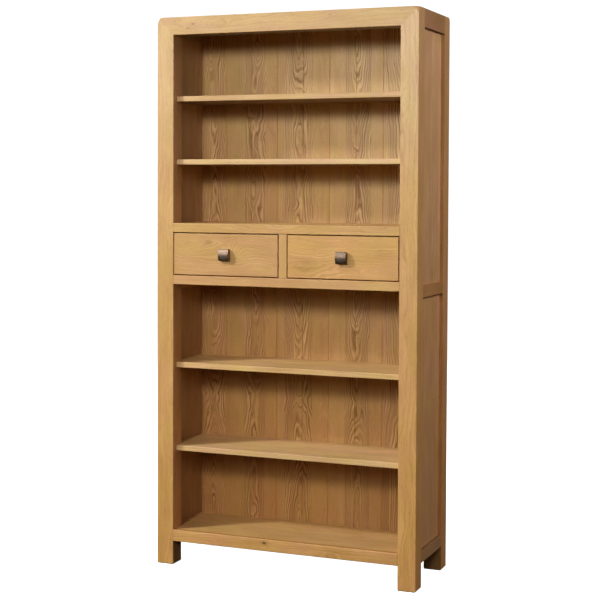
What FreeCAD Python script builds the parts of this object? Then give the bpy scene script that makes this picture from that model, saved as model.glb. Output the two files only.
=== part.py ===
import FreeCAD, Part
import math
import os

Vector = FreeCAD.Vector

# A tall free-standing oak bookcase: six open compartments with a band of two
# drawers across the middle. Millimetres, +Z up, front towards -Y, origin on the
# floor at the centre of the overall footprint, drawer knobs included.

# ---------------------------------------------------------------- overall size
height = 1900.0
width = 945.0
depth = 352.0                    # front of the posts to the back of the posts

# ------------------------------------------------- posts and mitred top frames
post_width = 62.0                # across the front
post_depth = 62.0                # front to back
top_rail_height = 62.0
corner_radius = 33.0             # front upper corners, rounded like a ball
rear_corner_radius = 18.0        # rear upper corners, the same way
corner_ease = 1.5                # where the balls meet the flat faces
arris = 2.5                      # softened edges of posts and rails
foot_chamfer = 3.0
tongue_thickness = 6.0           # loose tongue in each mitre
tongue_length = 36.0             # across the mitre
tongue_width = 40.0              # along the mitre
tongue_setback = 17.0            # from the outer face of the frame
tongue_shift = 6.0               # from the middle of the mitre, inwards

# ----------------------------------------------------------------------- sides
panel_thickness = 22.0
panel_recess = 12.0              # panels lie this far inside the rails' faces
panel_tongue_thickness = 8.0
panel_tongue_length = 8.0
panel_groove_spare = 1.0         # room for the panel to swell across its grain
side_rail_middle_drop = 23.0     # its underside below the drawer band's
side_rail_middle_height = 41.0

# ---------------------------------------------------------------------- joints
tenon_length = 28.0
tenon_thickness = 10.0
tenon_shoulder = 5.0
top_tenon_cover = 35.0           # wood left above the top side rails' tenons
housing_depth = 7.0              # shelves and boards let into the sides
stub_tenon_length = 12.0
divider_housing = 5.0
board_lip = 10.0                 # boards lap this far into the rails they meet

# ----------------------------------------------------------------- bottom rail
leg_clear_height = 82.0
bottom_rail_height = 41.0
bottom_rail_thickness = 28.0
rear_rail_thickness = 28.0
rear_rail_middle_height = 62.0
board_thickness = 19.0           # bottom board and boards round the drawers

# --------------------------------------------------------------------- shelves
shelf_thickness = 18.5
shelf_setback = 25.0             # behind the front face of the posts
shelf_post_gap = 0.5             # round the front posts
shelf_nosing = 2.0               # rounding of the front edge
lower_shelves = 2
first_share = 0.331              # of the upper openings' height, above the band
second_share = 0.327             # the opening above that

# ----------------------------------------------------------------- drawer band
drawer_band_underside = 979.0
drawer_rail_height = 32.0
drawer_rail_depth = 40.0
drawer_opening_height = 148.0
muntin_width = 30.0

# ------------------------------------------------------------------- top panel
top_panel_thickness = 20.0
top_tongue_thickness = 6.0
top_tongue_length = 6.0

# ----------------------------------------------------------------- back boards
back_board_thickness = 10.0
back_board_pitch = 99.5
back_tongue_thickness = 3.0
back_tongue_length = 4.0
back_groove_spare = 0.5
back_v_groove = 1.8
back_housing = 4.0               # into the underside of the top panel

# --------------------------------------------------------------------- drawers
drawer_gap = 3.0                 # round each drawer front
drawer_front_thickness = 20.0
drawer_front_arris = 1.5
drawer_side_thickness = 12.0
drawer_back_thickness = 12.0
drawer_back_drop = 8.0           # back lies below the top edge of the sides
drawer_bottom_thickness = 6.0
drawer_bottom_height = 10.0      # above the lower edge of the front
drawer_bottom_groove = 6.0
drawer_rear_room = 8.0           # between drawer and back boards
runner_gap = 0.3                 # under the sides
guide_clearance = 1.0            # each side of the drawer box
guide_height = 40.0
kicker_clearance = 1.5
kicker_width = 20.0
stop_height = 8.0
stop_thickness = 12.0
stop_width = 30.0
stop_inset = 60.0                # from the sides of the opening
stop_gap = 0.3

# ------------------------------------------------------------------- dovetails
tail_count = 4
front_lap = 6.0                  # wood left in front of the lapped dovetails
tail_narrow_share = 0.56         # narrow end of a tail, as a share of its pitch
dovetail_slope = 1.0 / 7.0

# ----------------------------------------------------------------------- knobs
knob_width = 38.0
knob_height = 40.0
knob_projection = 19.0
knob_head_thickness = 8.0        # at the upper and lower edges
knob_crown = 6.0                 # swell of the face above those edges
knob_lip_radius = 2.5            # rounding of the upper and lower edges
knob_side_chamfer = 0.8
knob_groove_inset = 5.5
knob_groove_width = 1.4
knob_groove_depth = 0.7
knob_neck_wide = 30.0
knob_neck_narrow = 18.0
knob_screw_radius = 2.0
knob_screw_head_radius = 4.5
knob_screw_head_height = 2.5
knob_screw_bite = 9.0
knob_screw_spare = 1.5
knob_screw_fit = 0.05

# ------------------------------------------------------------ worked-out places
front = -(depth - knob_projection) / 2.0
back = front + depth
half_width = width / 2.0
post_inner = half_width - post_width
front_post_rear = front + post_depth
rear_post_front = back - post_depth
side_thickness = panel_recess + panel_thickness
wall = half_width - side_thickness
board_face = rear_post_front - back_board_thickness

top_rail_underside = height - top_rail_height
top_panel_underside = height - top_panel_thickness
top_tenon_level = height - top_tenon_cover
bottom_level = leg_clear_height + bottom_rail_height
drawer_floor = drawer_band_underside + drawer_rail_height
drawer_ceiling = drawer_floor + drawer_opening_height
drawer_band_top = drawer_ceiling + drawer_rail_height
side_rail_middle_underside = drawer_band_underside - side_rail_middle_drop
side_rail_middle_top = side_rail_middle_underside + side_rail_middle_height

upper_span = top_rail_underside - drawer_band_top - 2 * shelf_thickness
upper_shelf_levels = (
    drawer_band_top + first_share * upper_span,
    drawer_band_top + (first_share + second_share) * upper_span + shelf_thickness,
)
lower_span = drawer_band_underside - bottom_level
lower_pitch = (lower_span - lower_shelves * shelf_thickness) / (lower_shelves + 1)

opening_width = post_inner - muntin_width / 2.0
proud = drawer_gap - guide_clearance
drawer_side_foot = drawer_floor + runner_gap
drawer_side_top = drawer_ceiling - drawer_gap
drawer_rear = board_face - drawer_rear_room
drawer_front_rear = front + drawer_front_thickness


# ---------------------------------------------------------------- small helpers
def block(x0, x1, y0, y1, z0, z1):
    """Box between two corners."""
    return Part.makeBox(x1 - x0, y1 - y0, z1 - z0, Vector(x0, y0, z0))


def prism(points, direction):
    """Solid swept along direction from a closed outline of straight edges."""
    outline = Part.makePolygon(points + points[:1])
    return Part.Face(outline).extrude(direction)


def mirrored(shape):
    """The same piece on the other side of the bookcase."""
    return shape.mirror(Vector(0, 0, 0), Vector(1, 0, 0))


def is_near(value, target):
    return abs(value - target) < 0.01


def soften(shape, radius, chosen):
    """Round the straight edges whose middle point and direction are chosen."""
    edges = []
    for edge in shape.Edges:
        if not isinstance(edge.Curve, Part.Line):
            continue
        first = edge.Vertexes[0].Point
        last = edge.Vertexes[-1].Point
        if chosen((first + last) * 0.5, last - first):
            edges.append(edge)
    return shape.makeFillet(radius, edges)


def runs_along(direction, axis):
    """True where an edge lies along one of the axes X, Y or Z."""
    return is_near(abs(getattr(direction, axis)), direction.Length)


def write(name, *solids):
    """Save one node, as one solid or a group of separate ones."""
    shape = solids[0] if len(solids) == 1 else Part.makeCompound(list(solids))
    shape.exportStep("parts/" + name + ".step")


def mortised(piece, *tenons):
    """Cut the places that other pieces fit into."""
    for tenon in tenons:
        piece = piece.cut(tenon)
    return piece


# --------------------------------------------------- mitred front and rear frame
def corner_waste(show_y, inward, radius):
    """What rounding takes off the left upper corner of a frame."""
    centre = Vector(-half_width + radius, show_y + inward * radius,
                    height - radius)
    reach = radius * 1.2
    y0, y1 = sorted((centre.y, centre.y - inward * reach))
    corner = block(centre.x - reach, centre.x, y0, y1,
                   centre.z, centre.z + reach)
    return corner.cut(Part.makeSphere(radius * math.sqrt(2.0), centre))


def frame(y0, show_y, radius):
    """Two posts and a top rail as one piece, before the mitres are cut."""
    outer = block(-half_width, half_width, y0, y0 + post_depth, 0, height)
    reach = post_depth * 2
    inner = block(-post_inner, post_inner, y0 - reach, y0 + reach,
                  -reach, top_rail_underside)
    whole = outer.cut(inner)
    edges = []
    for edge in whole.Edges:
        box = edge.BoundBox
        on_show = is_near(box.YMin, show_y) and is_near(box.YMax, show_y)
        on_shoulder = (is_near(box.ZMin, height)
                       and is_near(box.YLength, post_depth))
        if on_shoulder or on_show and box.ZMax > 1.0:
            edges.append(edge)
    whole = whole.makeFillet(arris, edges)
    waste = corner_waste(show_y, 1.0 if is_near(show_y, y0) else -1.0, radius)
    whole = whole.cut(waste).cut(mirrored(waste))
    arcs = [edge for edge in whole.Edges
            if isinstance(edge.Curve, Part.Circle)
            and is_near(edge.Curve.Radius, radius)]
    return whole.makeFillet(corner_ease, arcs)


def mitre_cutter(y0):
    """Everything between the two mitres, from the inner to the outer corners."""
    margin = post_depth * 2
    lean = post_width / top_rail_height
    spread = half_width + margin * lean
    points = [
        Vector(-post_inner, y0 - margin, top_rail_underside),
        Vector(-spread, y0 - margin, height + margin),
        Vector(spread, y0 - margin, height + margin),
        Vector(post_inner, y0 - margin, top_rail_underside),
    ]
    return prism(points, Vector(0, post_depth + 2 * margin, 0))


def chamfered_foot(post, x0, x1, y0, y1):
    """Take the arris off the four lower edges of a post."""
    cut = foot_chamfer
    across = prism([Vector(x0 + cut, y0, 0), Vector(x1 - cut, y0, 0),
                    Vector(x1, y0, cut), Vector(x1, y0, height),
                    Vector(x0, y0, height), Vector(x0, y0, cut)],
                   Vector(0, y1 - y0, 0))
    along = prism([Vector(x0, y0 + cut, 0), Vector(x0, y1 - cut, 0),
                   Vector(x0, y1, cut), Vector(x0, y1, height),
                   Vector(x0, y0, height), Vector(x0, y0, cut)],
                  Vector(x1 - x0, 0, 0))
    return post.common(across).common(along)


def split_frame(y0, show_y, radius):
    """Left post and top rail of one frame, cut apart at the mitre."""
    whole = frame(y0, show_y, radius)
    cutter = mitre_cutter(y0)
    rail = whole.common(cutter)
    posts = whole.cut(cutter)
    left = posts.common(block(-half_width, 0, y0, y0 + post_depth, 0, height))
    left = chamfered_foot(left, -half_width, -post_inner, y0, y0 + post_depth)
    return left, rail


def mitre_tongue(centre_y):
    """Loose tongue across the left mitre, lying square to it."""
    angle = math.degrees(math.atan2(top_rail_height, post_width))
    tongue = Part.makeBox(tongue_width, tongue_thickness, tongue_length,
                          Vector(-tongue_width / 2.0, -tongue_thickness / 2.0,
                                 -tongue_length / 2.0))
    tongue.rotate(Vector(0, 0, 0), Vector(0, 1, 0), angle)
    middle_x = -(post_inner + post_width / 2.0)
    middle_z = top_rail_underside + top_rail_height / 2.0
    shift_x = tongue_shift * math.cos(math.radians(angle))
    shift_z = tongue_shift * math.sin(math.radians(angle))
    tongue.translate(Vector(middle_x + shift_x, centre_y, middle_z - shift_z))
    return tongue


# ------------------------------------------------------------------ side frames
def side_tenon(y0, y1, z0, z1):
    """Tenon of a left side rail, centred in the rail's thickness."""
    middle = -half_width + side_thickness / 2.0
    half = tenon_thickness / 2.0
    return block(middle - half, middle + half, y0, y1, z0, z1)


def side_rail(z0, z1, tenon_top):
    """Left side rail between the posts, with a tenon at each end."""
    body = block(-half_width, -wall, front_post_rear, rear_post_front, z0, z1)
    body = soften(body, arris, lambda middle, run:
                  runs_along(run, "y") and is_near(middle.x, -half_width))
    tenon = side_tenon(front_post_rear - tenon_length,
                       rear_post_front + tenon_length,
                       z0 + tenon_shoulder, tenon_top)
    return body.fuse(tenon).removeSplitter()


def side_panel(z0, z1, spare=0.0):
    """Left side panel with tongues all round; spare makes its groove cutter."""
    body = block(-half_width + panel_recess, -wall,
                 front_post_rear, rear_post_front, z0, z1)
    tongue_centre = -half_width + panel_recess + panel_thickness / 2.0
    half = panel_tongue_thickness / 2.0
    reach = panel_tongue_length + spare
    tongue = block(tongue_centre - half, tongue_centre + half,
                   front_post_rear - reach, rear_post_front + reach,
                   z0 - reach, z1 + reach)
    return body.fuse(tongue).removeSplitter()


# ------------------------------------------------------------------- cross rails
def cross_rail(y0, y1, z0, z1, show_y):
    """Rail from post to post with a tenon at each end."""
    body = block(-post_inner, post_inner, y0, y1, z0, z1)
    body = soften(body, arris, lambda middle, run:
                  runs_along(run, "x") and is_near(middle.y, show_y))
    middle_y = (y0 + y1) / 2.0
    half = min(tenon_thickness, (y1 - y0) / 2.0) / 2.0
    reach = post_inner + tenon_length
    tenon = block(-reach, reach, middle_y - half, middle_y + half,
                  z0 + tenon_shoulder, z1 - tenon_shoulder)
    return body.fuse(tenon).removeSplitter()


# ------------------------------------------------------------- boards and shelves
def notched_board(y0, z0, thickness, nosing=0.0):
    """Board housed in both sides and notched round the front posts."""
    reach = wall + housing_depth
    board = block(-reach, reach, y0, board_face, z0, z0 + thickness)
    if nosing:
        board = soften(board, nosing, lambda middle, run:
                       runs_along(run, "x") and is_near(middle.y, y0))
    notch_x = post_inner - shelf_post_gap
    notch_y = front_post_rear + shelf_post_gap
    if y0 < notch_y:
        for side in (-1, 1):
            x0, x1 = sorted((side * notch_x, side * (reach + 1.0)))
            board = board.cut(block(x0, x1, y0 - 1.0, notch_y,
                                    z0 - 1.0, z0 + thickness + 1.0))
    return board


def top_panel():
    """Top panel lying flush inside the mitred frames and the side rails."""
    body = block(-wall, wall, front_post_rear, rear_post_front,
                 top_panel_underside, height)
    middle = top_panel_underside + top_panel_thickness / 2.0
    half = top_tongue_thickness / 2.0
    reach = top_tongue_length
    tongue = block(-wall - reach, wall + reach,
                   front_post_rear - reach, rear_post_front + reach,
                   middle - half, middle + half)
    return body.fuse(tongue).removeSplitter()


# -------------------------------------------------------------------- back boards
def back_board(x0, x1, has_groove, has_tongue):
    """One upright matched board, with a small V at each joint on its face."""
    y0 = board_face
    y1 = rear_post_front
    middle = (y0 + y1) / 2.0
    half = back_tongue_thickness / 2.0
    vee = back_v_groove
    groove = back_tongue_length + back_groove_spare
    points = [Vector(x0, y1, 0)]
    if has_groove:
        points += [Vector(x0, middle + half, 0),
                   Vector(x0 + groove, middle + half, 0),
                   Vector(x0 + groove, middle - half, 0),
                   Vector(x0, middle - half, 0),
                   Vector(x0, y0 + vee, 0),
                   Vector(x0 + vee, y0, 0)]
    else:
        points += [Vector(x0, y0, 0)]
    if has_tongue:
        points += [Vector(x1 - vee, y0, 0),
                   Vector(x1, y0 + vee, 0),
                   Vector(x1, middle - half, 0),
                   Vector(x1 + back_tongue_length, middle - half, 0),
                   Vector(x1 + back_tongue_length, middle + half, 0),
                   Vector(x1, middle + half, 0)]
    else:
        points += [Vector(x1, y0, 0)]
    points += [Vector(x1, y1, 0)]
    foot = Vector(0, 0, leg_clear_height)
    rise = top_panel_underside + back_housing - leg_clear_height
    return prism([point + foot for point in points], Vector(0, 0, rise))


def back_board_edges():
    """Left and right edge of each board; the last one is ripped to fit."""
    edges = []
    x0 = -wall
    while x0 < wall - back_tongue_length:
        x1 = min(x0 + back_board_pitch, wall)
        if wall - x1 < back_tongue_length * 2:
            x1 = wall
        edges.append((x0, x1))
        x0 = x1
    return edges


# ------------------------------------------------------------------------ drawers
def tails(x0, x1, base_y, tip_y, z0, z1):
    """Dovetails in the Y-Z plane, wider at tip_y than at base_y."""
    pitch = (z1 - z0) / tail_count
    narrow = pitch * tail_narrow_share / 2.0
    wide = narrow + abs(tip_y - base_y) * dovetail_slope
    solids = []
    for index in range(tail_count):
        centre = z0 + (index + 0.5) * pitch
        points = [Vector(x0, base_y, centre - narrow),
                  Vector(x0, tip_y, centre - wide),
                  Vector(x0, tip_y, centre + wide),
                  Vector(x0, base_y, centre + narrow)]
        solids.append(prism(points, Vector(x1 - x0, 0, 0)))
    return solids


def knob(centre_x, centre_z):
    """Square metal knob: a crowned head on a tapered square neck."""
    half_w = knob_width / 2.0
    half_h = knob_height / 2.0
    face_y = front - knob_projection
    edge_y = face_y + knob_crown
    rear_y = edge_y + knob_head_thickness
    lower = Vector(-half_w, edge_y, -half_h)
    crown = Vector(-half_w, face_y, 0)
    upper = Vector(-half_w, edge_y, half_h)
    upper_rear = Vector(-half_w, rear_y, half_h)
    lower_rear = Vector(-half_w, rear_y, -half_h)
    outline = Part.Wire([
        Part.Arc(lower, crown, upper).toShape(),
        Part.LineSegment(upper, upper_rear).toShape(),
        Part.LineSegment(upper_rear, lower_rear).toShape(),
        Part.LineSegment(lower_rear, lower).toShape(),
    ])
    head = Part.Face(outline).extrude(Vector(knob_width, 0, 0))
    head = soften(head, knob_lip_radius, lambda middle, run:
                  runs_along(run, "x") and is_near(middle.y, edge_y))
    head = head.makeChamfer(knob_side_chamfer, [
        edge for edge in head.Edges
        if edge.BoundBox.XLength < 0.01 and edge.BoundBox.YMax < rear_y - 0.01])
    for side in (-1, 1):
        groove_x = side * (half_w - knob_groove_inset)
        ring_outer = knob_groove_sweep(groove_x, face_y, 1.0)
        ring_inner = knob_groove_sweep(groove_x, face_y + knob_groove_depth, 0.0)
        head = head.cut(ring_outer.cut(ring_inner))
    whole = head.fuse(knob_neck(rear_y)).removeSplitter()
    whole.translate(Vector(centre_x, 0, centre_z))
    return whole


def knob_groove_sweep(groove_x, face_y, stand_off):
    """Curved slab behind the crowned face, at the width of one groove."""
    half_h = knob_height / 2.0
    half = knob_groove_width / 2.0
    near = face_y - stand_off
    points = (Vector(groove_x - half, near + knob_crown, -half_h - stand_off),
              Vector(groove_x - half, near, 0),
              Vector(groove_x - half, near + knob_crown, half_h + stand_off))
    far = face_y + knob_crown + knob_head_thickness
    top_far = Vector(groove_x - half, far, half_h + stand_off)
    low_far = Vector(groove_x - half, far, -half_h - stand_off)
    outline = Part.Wire([
        Part.Arc(*points).toShape(),
        Part.LineSegment(points[2], top_far).toShape(),
        Part.LineSegment(top_far, low_far).toShape(),
        Part.LineSegment(low_far, points[0]).toShape(),
    ])
    return Part.Face(outline).extrude(Vector(knob_groove_width, 0, 0))


def knob_neck(rear_y):
    """Square neck that narrows from the back of the head to the drawer."""
    wide = knob_neck_wide / 2.0
    narrow = knob_neck_narrow / 2.0
    plan = prism([Vector(-wide, rear_y, -wide), Vector(wide, rear_y, -wide),
                  Vector(narrow, front, -wide), Vector(-narrow, front, -wide)],
                 Vector(0, 0, 2 * wide))
    elevation = prism([Vector(-wide, rear_y, -wide), Vector(-wide, rear_y, wide),
                       Vector(-wide, front, narrow), Vector(-wide, front, -narrow)],
                      Vector(2 * wide, 0, 0))
    return plan.common(elevation)


def knob_screw(centre_x, centre_z, fit=0.0, spare=0.0):
    """Pan-head screw from inside the drawer front into the knob's neck."""
    seat = Vector(centre_x, drawer_front_rear, centre_z)
    reach = drawer_front_thickness + knob_screw_bite + spare
    shank = Part.makeCylinder(knob_screw_radius + fit, reach, seat, Vector(0, -1, 0))
    head = Part.makeCylinder(knob_screw_head_radius, knob_screw_head_height,
                             seat, Vector(0, 1, 0))
    return shank.fuse(head).removeSplitter()


def drawer(centre_x):
    """All pieces of one drawer, closed, as a dictionary of solids."""
    x0 = centre_x - opening_width / 2.0 + drawer_gap
    x1 = centre_x + opening_width / 2.0 - drawer_gap
    z0 = drawer_floor + drawer_gap
    z1 = drawer_ceiling - drawer_gap
    side = drawer_side_thickness
    bottom_z = z0 + drawer_bottom_height
    bottom_top = bottom_z + drawer_bottom_thickness
    groove = drawer_bottom_groove

    bottom = block(x0 + side - groove, x1 - side + groove,
                   drawer_front_rear - groove, drawer_rear,
                   bottom_z, bottom_top)
    front_tails = []
    back_tails = []
    back_y = drawer_rear - drawer_back_thickness
    back_z1 = drawer_side_top - drawer_back_drop
    for a, b in ((x0, x0 + side), (x1 - side, x1)):
        front_tails.append(tails(a, b, drawer_front_rear, front + front_lap, z0, z1))
        back_tails.append(tails(a, b, back_y, drawer_rear, bottom_top, back_z1))

    face = block(x0, x1, front, drawer_front_rear, z0, z1)
    face = soften(face, drawer_front_arris, lambda middle, run:
                  is_near(middle.y, front) and not runs_along(run, "y"))
    face = mortised(face, bottom, *(front_tails[0] + front_tails[1]))
    middle_z = (z0 + z1) / 2.0
    face = face.cut(knob_screw(centre_x, middle_z, knob_screw_fit))

    rear = block(x0, x1, back_y, drawer_rear, bottom_top, back_z1)
    rear = mortised(rear, *(back_tails[0] + back_tails[1]))

    sides = []
    for index, (a, b) in enumerate(((x0, x0 + side), (x1 - side, x1))):
        piece = block(a, b, drawer_front_rear, drawer_rear,
                      drawer_side_foot, drawer_side_top)
        for tail in front_tails[index]:
            piece = piece.fuse(tail)
        piece = mortised(piece.removeSplitter(), bottom, rear)
        sides.append(piece)

    pull = knob(centre_x, middle_z)
    pull = pull.cut(knob_screw(centre_x, middle_z, knob_screw_fit,
                               knob_screw_spare))
    return {
        "front": face,
        "side_left": sides[0],
        "side_right": sides[1],
        "back": rear,
        "bottom": bottom,
        "knob": pull,
        "knob_screw": knob_screw(centre_x, middle_z),
    }


# ---------------------------------------------------------- what carries a drawer
def drawer_guide():
    """Left guide strip, filling the step between the post and the side panel."""
    return block(-wall, -post_inner + proud, front_post_rear, board_face,
                 drawer_floor, drawer_floor + guide_height)


def drawer_kickers():
    """Strips over the drawer sides that keep an open drawer from tipping."""
    z0 = drawer_side_top + kicker_clearance
    z1 = drawer_band_top - board_thickness
    y0 = front + drawer_rail_depth
    outer = block(-post_inner + shelf_post_gap, -post_inner + kicker_width, y0,
                  board_face, z0, z1)
    inner_face = -muntin_width / 2.0 - proud
    inner = block(inner_face - kicker_width, inner_face, y0, board_face, z0, z1)
    return [outer, inner, mirrored(inner), mirrored(outer)]


def drawer_stops():
    """Small blocks behind the lower edge of each drawer front."""
    y0 = drawer_front_rear + stop_gap
    solids = []
    for edge in (post_inner - stop_inset, muntin_width / 2.0 + stop_inset + stop_width):
        for side in (-1, 1):
            x0, x1 = sorted((side * edge, side * (edge - stop_width)))
            solids.append(block(x0, x1, y0, y0 + stop_thickness,
                                drawer_floor, drawer_floor + stop_height))
    return solids


# ----------------------------------------------------------------------- assembly
def build():
    pieces = {}

    # Cross rails
    bottom_rail_front = cross_rail(front, front + bottom_rail_thickness,
                                   leg_clear_height, bottom_level, front)
    bottom_rail_rear = cross_rail(rear_post_front,
                                  rear_post_front + rear_rail_thickness,
                                  leg_clear_height, bottom_level,
                                  rear_post_front + rear_rail_thickness)
    middle_rail_rear = cross_rail(rear_post_front,
                                  rear_post_front + rear_rail_thickness,
                                  drawer_band_underside,
                                  drawer_band_underside + rear_rail_middle_height,
                                  rear_post_front + rear_rail_thickness)
    rail_lower = cross_rail(front, front + drawer_rail_depth,
                            drawer_band_underside, drawer_floor, front)
    rail_upper = cross_rail(front, front + drawer_rail_depth,
                            drawer_ceiling, drawer_band_top, front)

    # Boards and shelves
    board_start = front + bottom_rail_thickness - board_lip
    bottom_board = notched_board(board_start, bottom_level - board_thickness,
                                 board_thickness)
    band_start = front + drawer_rail_depth - board_lip
    board_under = notched_board(band_start, drawer_floor - board_thickness,
                                board_thickness)
    board_over = notched_board(band_start, drawer_band_top - board_thickness,
                               board_thickness)
    shelves = {}
    for index in range(lower_shelves):
        level = bottom_level + (index + 1) * lower_pitch + index * shelf_thickness
        shelves["shelf_lower_%d" % (index + 1)] = level
    for index, level in enumerate(upper_shelf_levels):
        shelves["shelf_upper_%d" % (index + 1)] = level
    for name, level in shelves.items():
        shelves[name] = notched_board(front + shelf_setback, level,
                                      shelf_thickness, shelf_nosing)
    housed = [bottom_board, board_under, board_over] + list(shelves.values())

    # Muntin and divider between the drawers
    muntin = block(-muntin_width / 2.0, muntin_width / 2.0,
                   front, front + drawer_rail_depth, drawer_floor, drawer_ceiling)
    muntin = soften(muntin, arris, lambda middle, run:
                    runs_along(run, "z") and is_near(middle.y, front))
    muntin_y = front + drawer_rail_depth / 2.0
    stub = block(-muntin_width / 2.0 + tenon_shoulder, muntin_width / 2.0 - tenon_shoulder,
                 muntin_y - tenon_thickness / 2.0, muntin_y + tenon_thickness / 2.0,
                 drawer_floor - stub_tenon_length, drawer_ceiling + stub_tenon_length)
    muntin = muntin.fuse(stub).removeSplitter()
    half_divider = muntin_width / 2.0 + proud
    divider = block(-half_divider, half_divider, front + drawer_rail_depth, board_face,
                    drawer_floor - divider_housing,
                    drawer_band_top - board_thickness + divider_housing)
    pieces["drawer_muntin"] = muntin
    pieces["drawer_divider"] = divider

    # Sides
    rails = {
        "top": side_rail(top_rail_underside, height, top_tenon_level),
        "middle": side_rail(side_rail_middle_underside, side_rail_middle_top,
                            side_rail_middle_top - tenon_shoulder),
        "bottom": side_rail(leg_clear_height, bottom_level,
                            bottom_level - tenon_shoulder),
    }
    spans = {
        "upper": (side_rail_middle_top, top_rail_underside),
        "lower": (bottom_level, side_rail_middle_underside),
    }
    panel_grooves = [side_panel(z0, z1, panel_groove_spare)
                     for z0, z1 in spans.values()]
    top = top_panel()
    for level, rail in rails.items():
        rail = mortised(rail, top, *housed)
        rail = mortised(rail, *panel_grooves)
        pieces["side_rail_%s_left" % level] = rail
        pieces["side_rail_%s_right" % level] = mirrored(rail)
    for level, (z0, z1) in spans.items():
        panel = mortised(side_panel(z0, z1), *housed)
        pieces["side_panel_%s_left" % level] = panel
        pieces["side_panel_%s_right" % level] = mirrored(panel)

    # Front and rear frames, mitred at the top
    front_tongue = mitre_tongue(front + tongue_setback)
    rear_tongue = mitre_tongue(back - tongue_setback)
    tongues = [front_tongue, rear_tongue]
    tongues += [mirrored(tongue) for tongue in tongues]
    side_tenons = [side_tenon(front_post_rear - tenon_length,
                              rear_post_front + tenon_length, z0, z1)
                   for z0, z1 in (
                       (leg_clear_height + tenon_shoulder,
                        bottom_level - tenon_shoulder),
                       (side_rail_middle_underside + tenon_shoulder,
                        side_rail_middle_top - tenon_shoulder),
                       (top_rail_underside + tenon_shoulder,
                        top_tenon_level))]
    cross_rails = [bottom_rail_front, bottom_rail_rear, middle_rail_rear,
                   rail_lower, rail_upper]
    for place, y0, show_y, radius in (
            ("front", front, front, corner_radius),
            ("rear", rear_post_front, back, rear_corner_radius)):
        post, rail = split_frame(y0, show_y, radius)
        post = mortised(post, top, *(tongues + side_tenons + cross_rails))
        post = mortised(post, *panel_grooves)
        rail = mortised(rail, top, *tongues)
        pieces["post_%s_left" % place] = post
        pieces["post_%s_right" % place] = mirrored(post)
        pieces["top_rail_%s" % place] = rail

    # Back boards
    edges = back_board_edges()
    boards = []
    for index, (x0, x1) in enumerate(edges):
        boards.append(back_board(x0, x1, index > 0, index < len(edges) - 1))
        pieces["back_board_%d" % (index + 1)] = boards[index]
    pieces["top_panel"] = mortised(top, *boards)
    pieces["bottom_rail_rear"] = bottom_rail_rear
    pieces["middle_rail_rear"] = middle_rail_rear

    pieces["bottom_rail_front"] = bottom_rail_front.cut(bottom_board)
    pieces["drawer_rail_lower"] = mortised(rail_lower, board_under, muntin)
    pieces["drawer_rail_upper"] = mortised(rail_upper, board_over, muntin)
    pieces["bottom_board"] = bottom_board
    pieces["board_under_drawers"] = board_under.cut(divider)
    pieces["board_over_drawers"] = board_over.cut(divider)
    pieces.update(shelves)

    pieces["drawer_guide_left"] = drawer_guide()
    pieces["drawer_guide_right"] = mirrored(drawer_guide())

    # Drawers
    centre = (post_inner + muntin_width / 2.0) / 2.0
    for name, centre_x in (("left", -centre), ("right", centre)):
        for piece_name, solid in drawer(centre_x).items():
            pieces["%s_drawer_%s" % (name, piece_name)] = solid

    os.makedirs("parts", exist_ok=True)
    for name, solid in pieces.items():
        write(name, solid)
    write("mitre_tongues", *tongues)
    write("drawer_kickers", *drawer_kickers())
    write("drawer_stops", *drawer_stops())


build()
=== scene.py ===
"""Looks of the tall oak bookcase: satin oak on every board, aged pewter knobs, pins at the back.

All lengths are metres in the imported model's own frame: +Z up, front towards -Y.
Colours are linear. Shades, casts and tints are colours that another colour is multiplied by.
"""
import math
import random

import bmesh
import bpy
from mathutils import Matrix, Vector


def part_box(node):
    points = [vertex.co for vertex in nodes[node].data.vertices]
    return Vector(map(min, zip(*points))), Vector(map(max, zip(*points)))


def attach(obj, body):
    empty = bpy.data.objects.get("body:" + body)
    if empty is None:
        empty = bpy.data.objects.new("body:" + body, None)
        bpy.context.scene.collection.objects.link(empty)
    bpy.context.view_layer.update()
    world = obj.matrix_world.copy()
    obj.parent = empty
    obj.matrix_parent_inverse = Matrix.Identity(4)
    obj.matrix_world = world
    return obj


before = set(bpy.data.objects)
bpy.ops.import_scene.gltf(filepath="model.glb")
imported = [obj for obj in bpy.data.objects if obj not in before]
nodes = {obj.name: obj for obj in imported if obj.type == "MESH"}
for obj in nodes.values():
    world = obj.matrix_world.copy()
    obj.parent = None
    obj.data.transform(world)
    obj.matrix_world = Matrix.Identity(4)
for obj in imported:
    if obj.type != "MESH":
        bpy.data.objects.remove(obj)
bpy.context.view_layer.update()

# ---------------------------------------------------------------- camera and studio values
IMAGE_SIDE = 600.0                      # pixels, square
FOCAL_PIXELS = 1401.3
PRINCIPAL_ROW = 233.8                   # where the camera's axis meets the picture
SENSOR_WIDTH = 36.0                     # millimetres
CLIP_END = 100.0
CAMERA_PLACE = Vector((1.8295, -4.4839, 1.3198))
CAMERA_YAW = 0.3884                     # radians, turned towards -X
CAMERA_PITCH = -0.0339
CAMERA_ROLL = 0.004

WHITE = (1.0, 1.0, 1.0)
COOL = (0.95, 1.00, 1.06)
WARM_GREY = (1.05, 0.99, 1.15)
LIGHT_TARGET = (0.0, 0.0, 1.1)          # a little above half the bookcase's height
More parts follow.
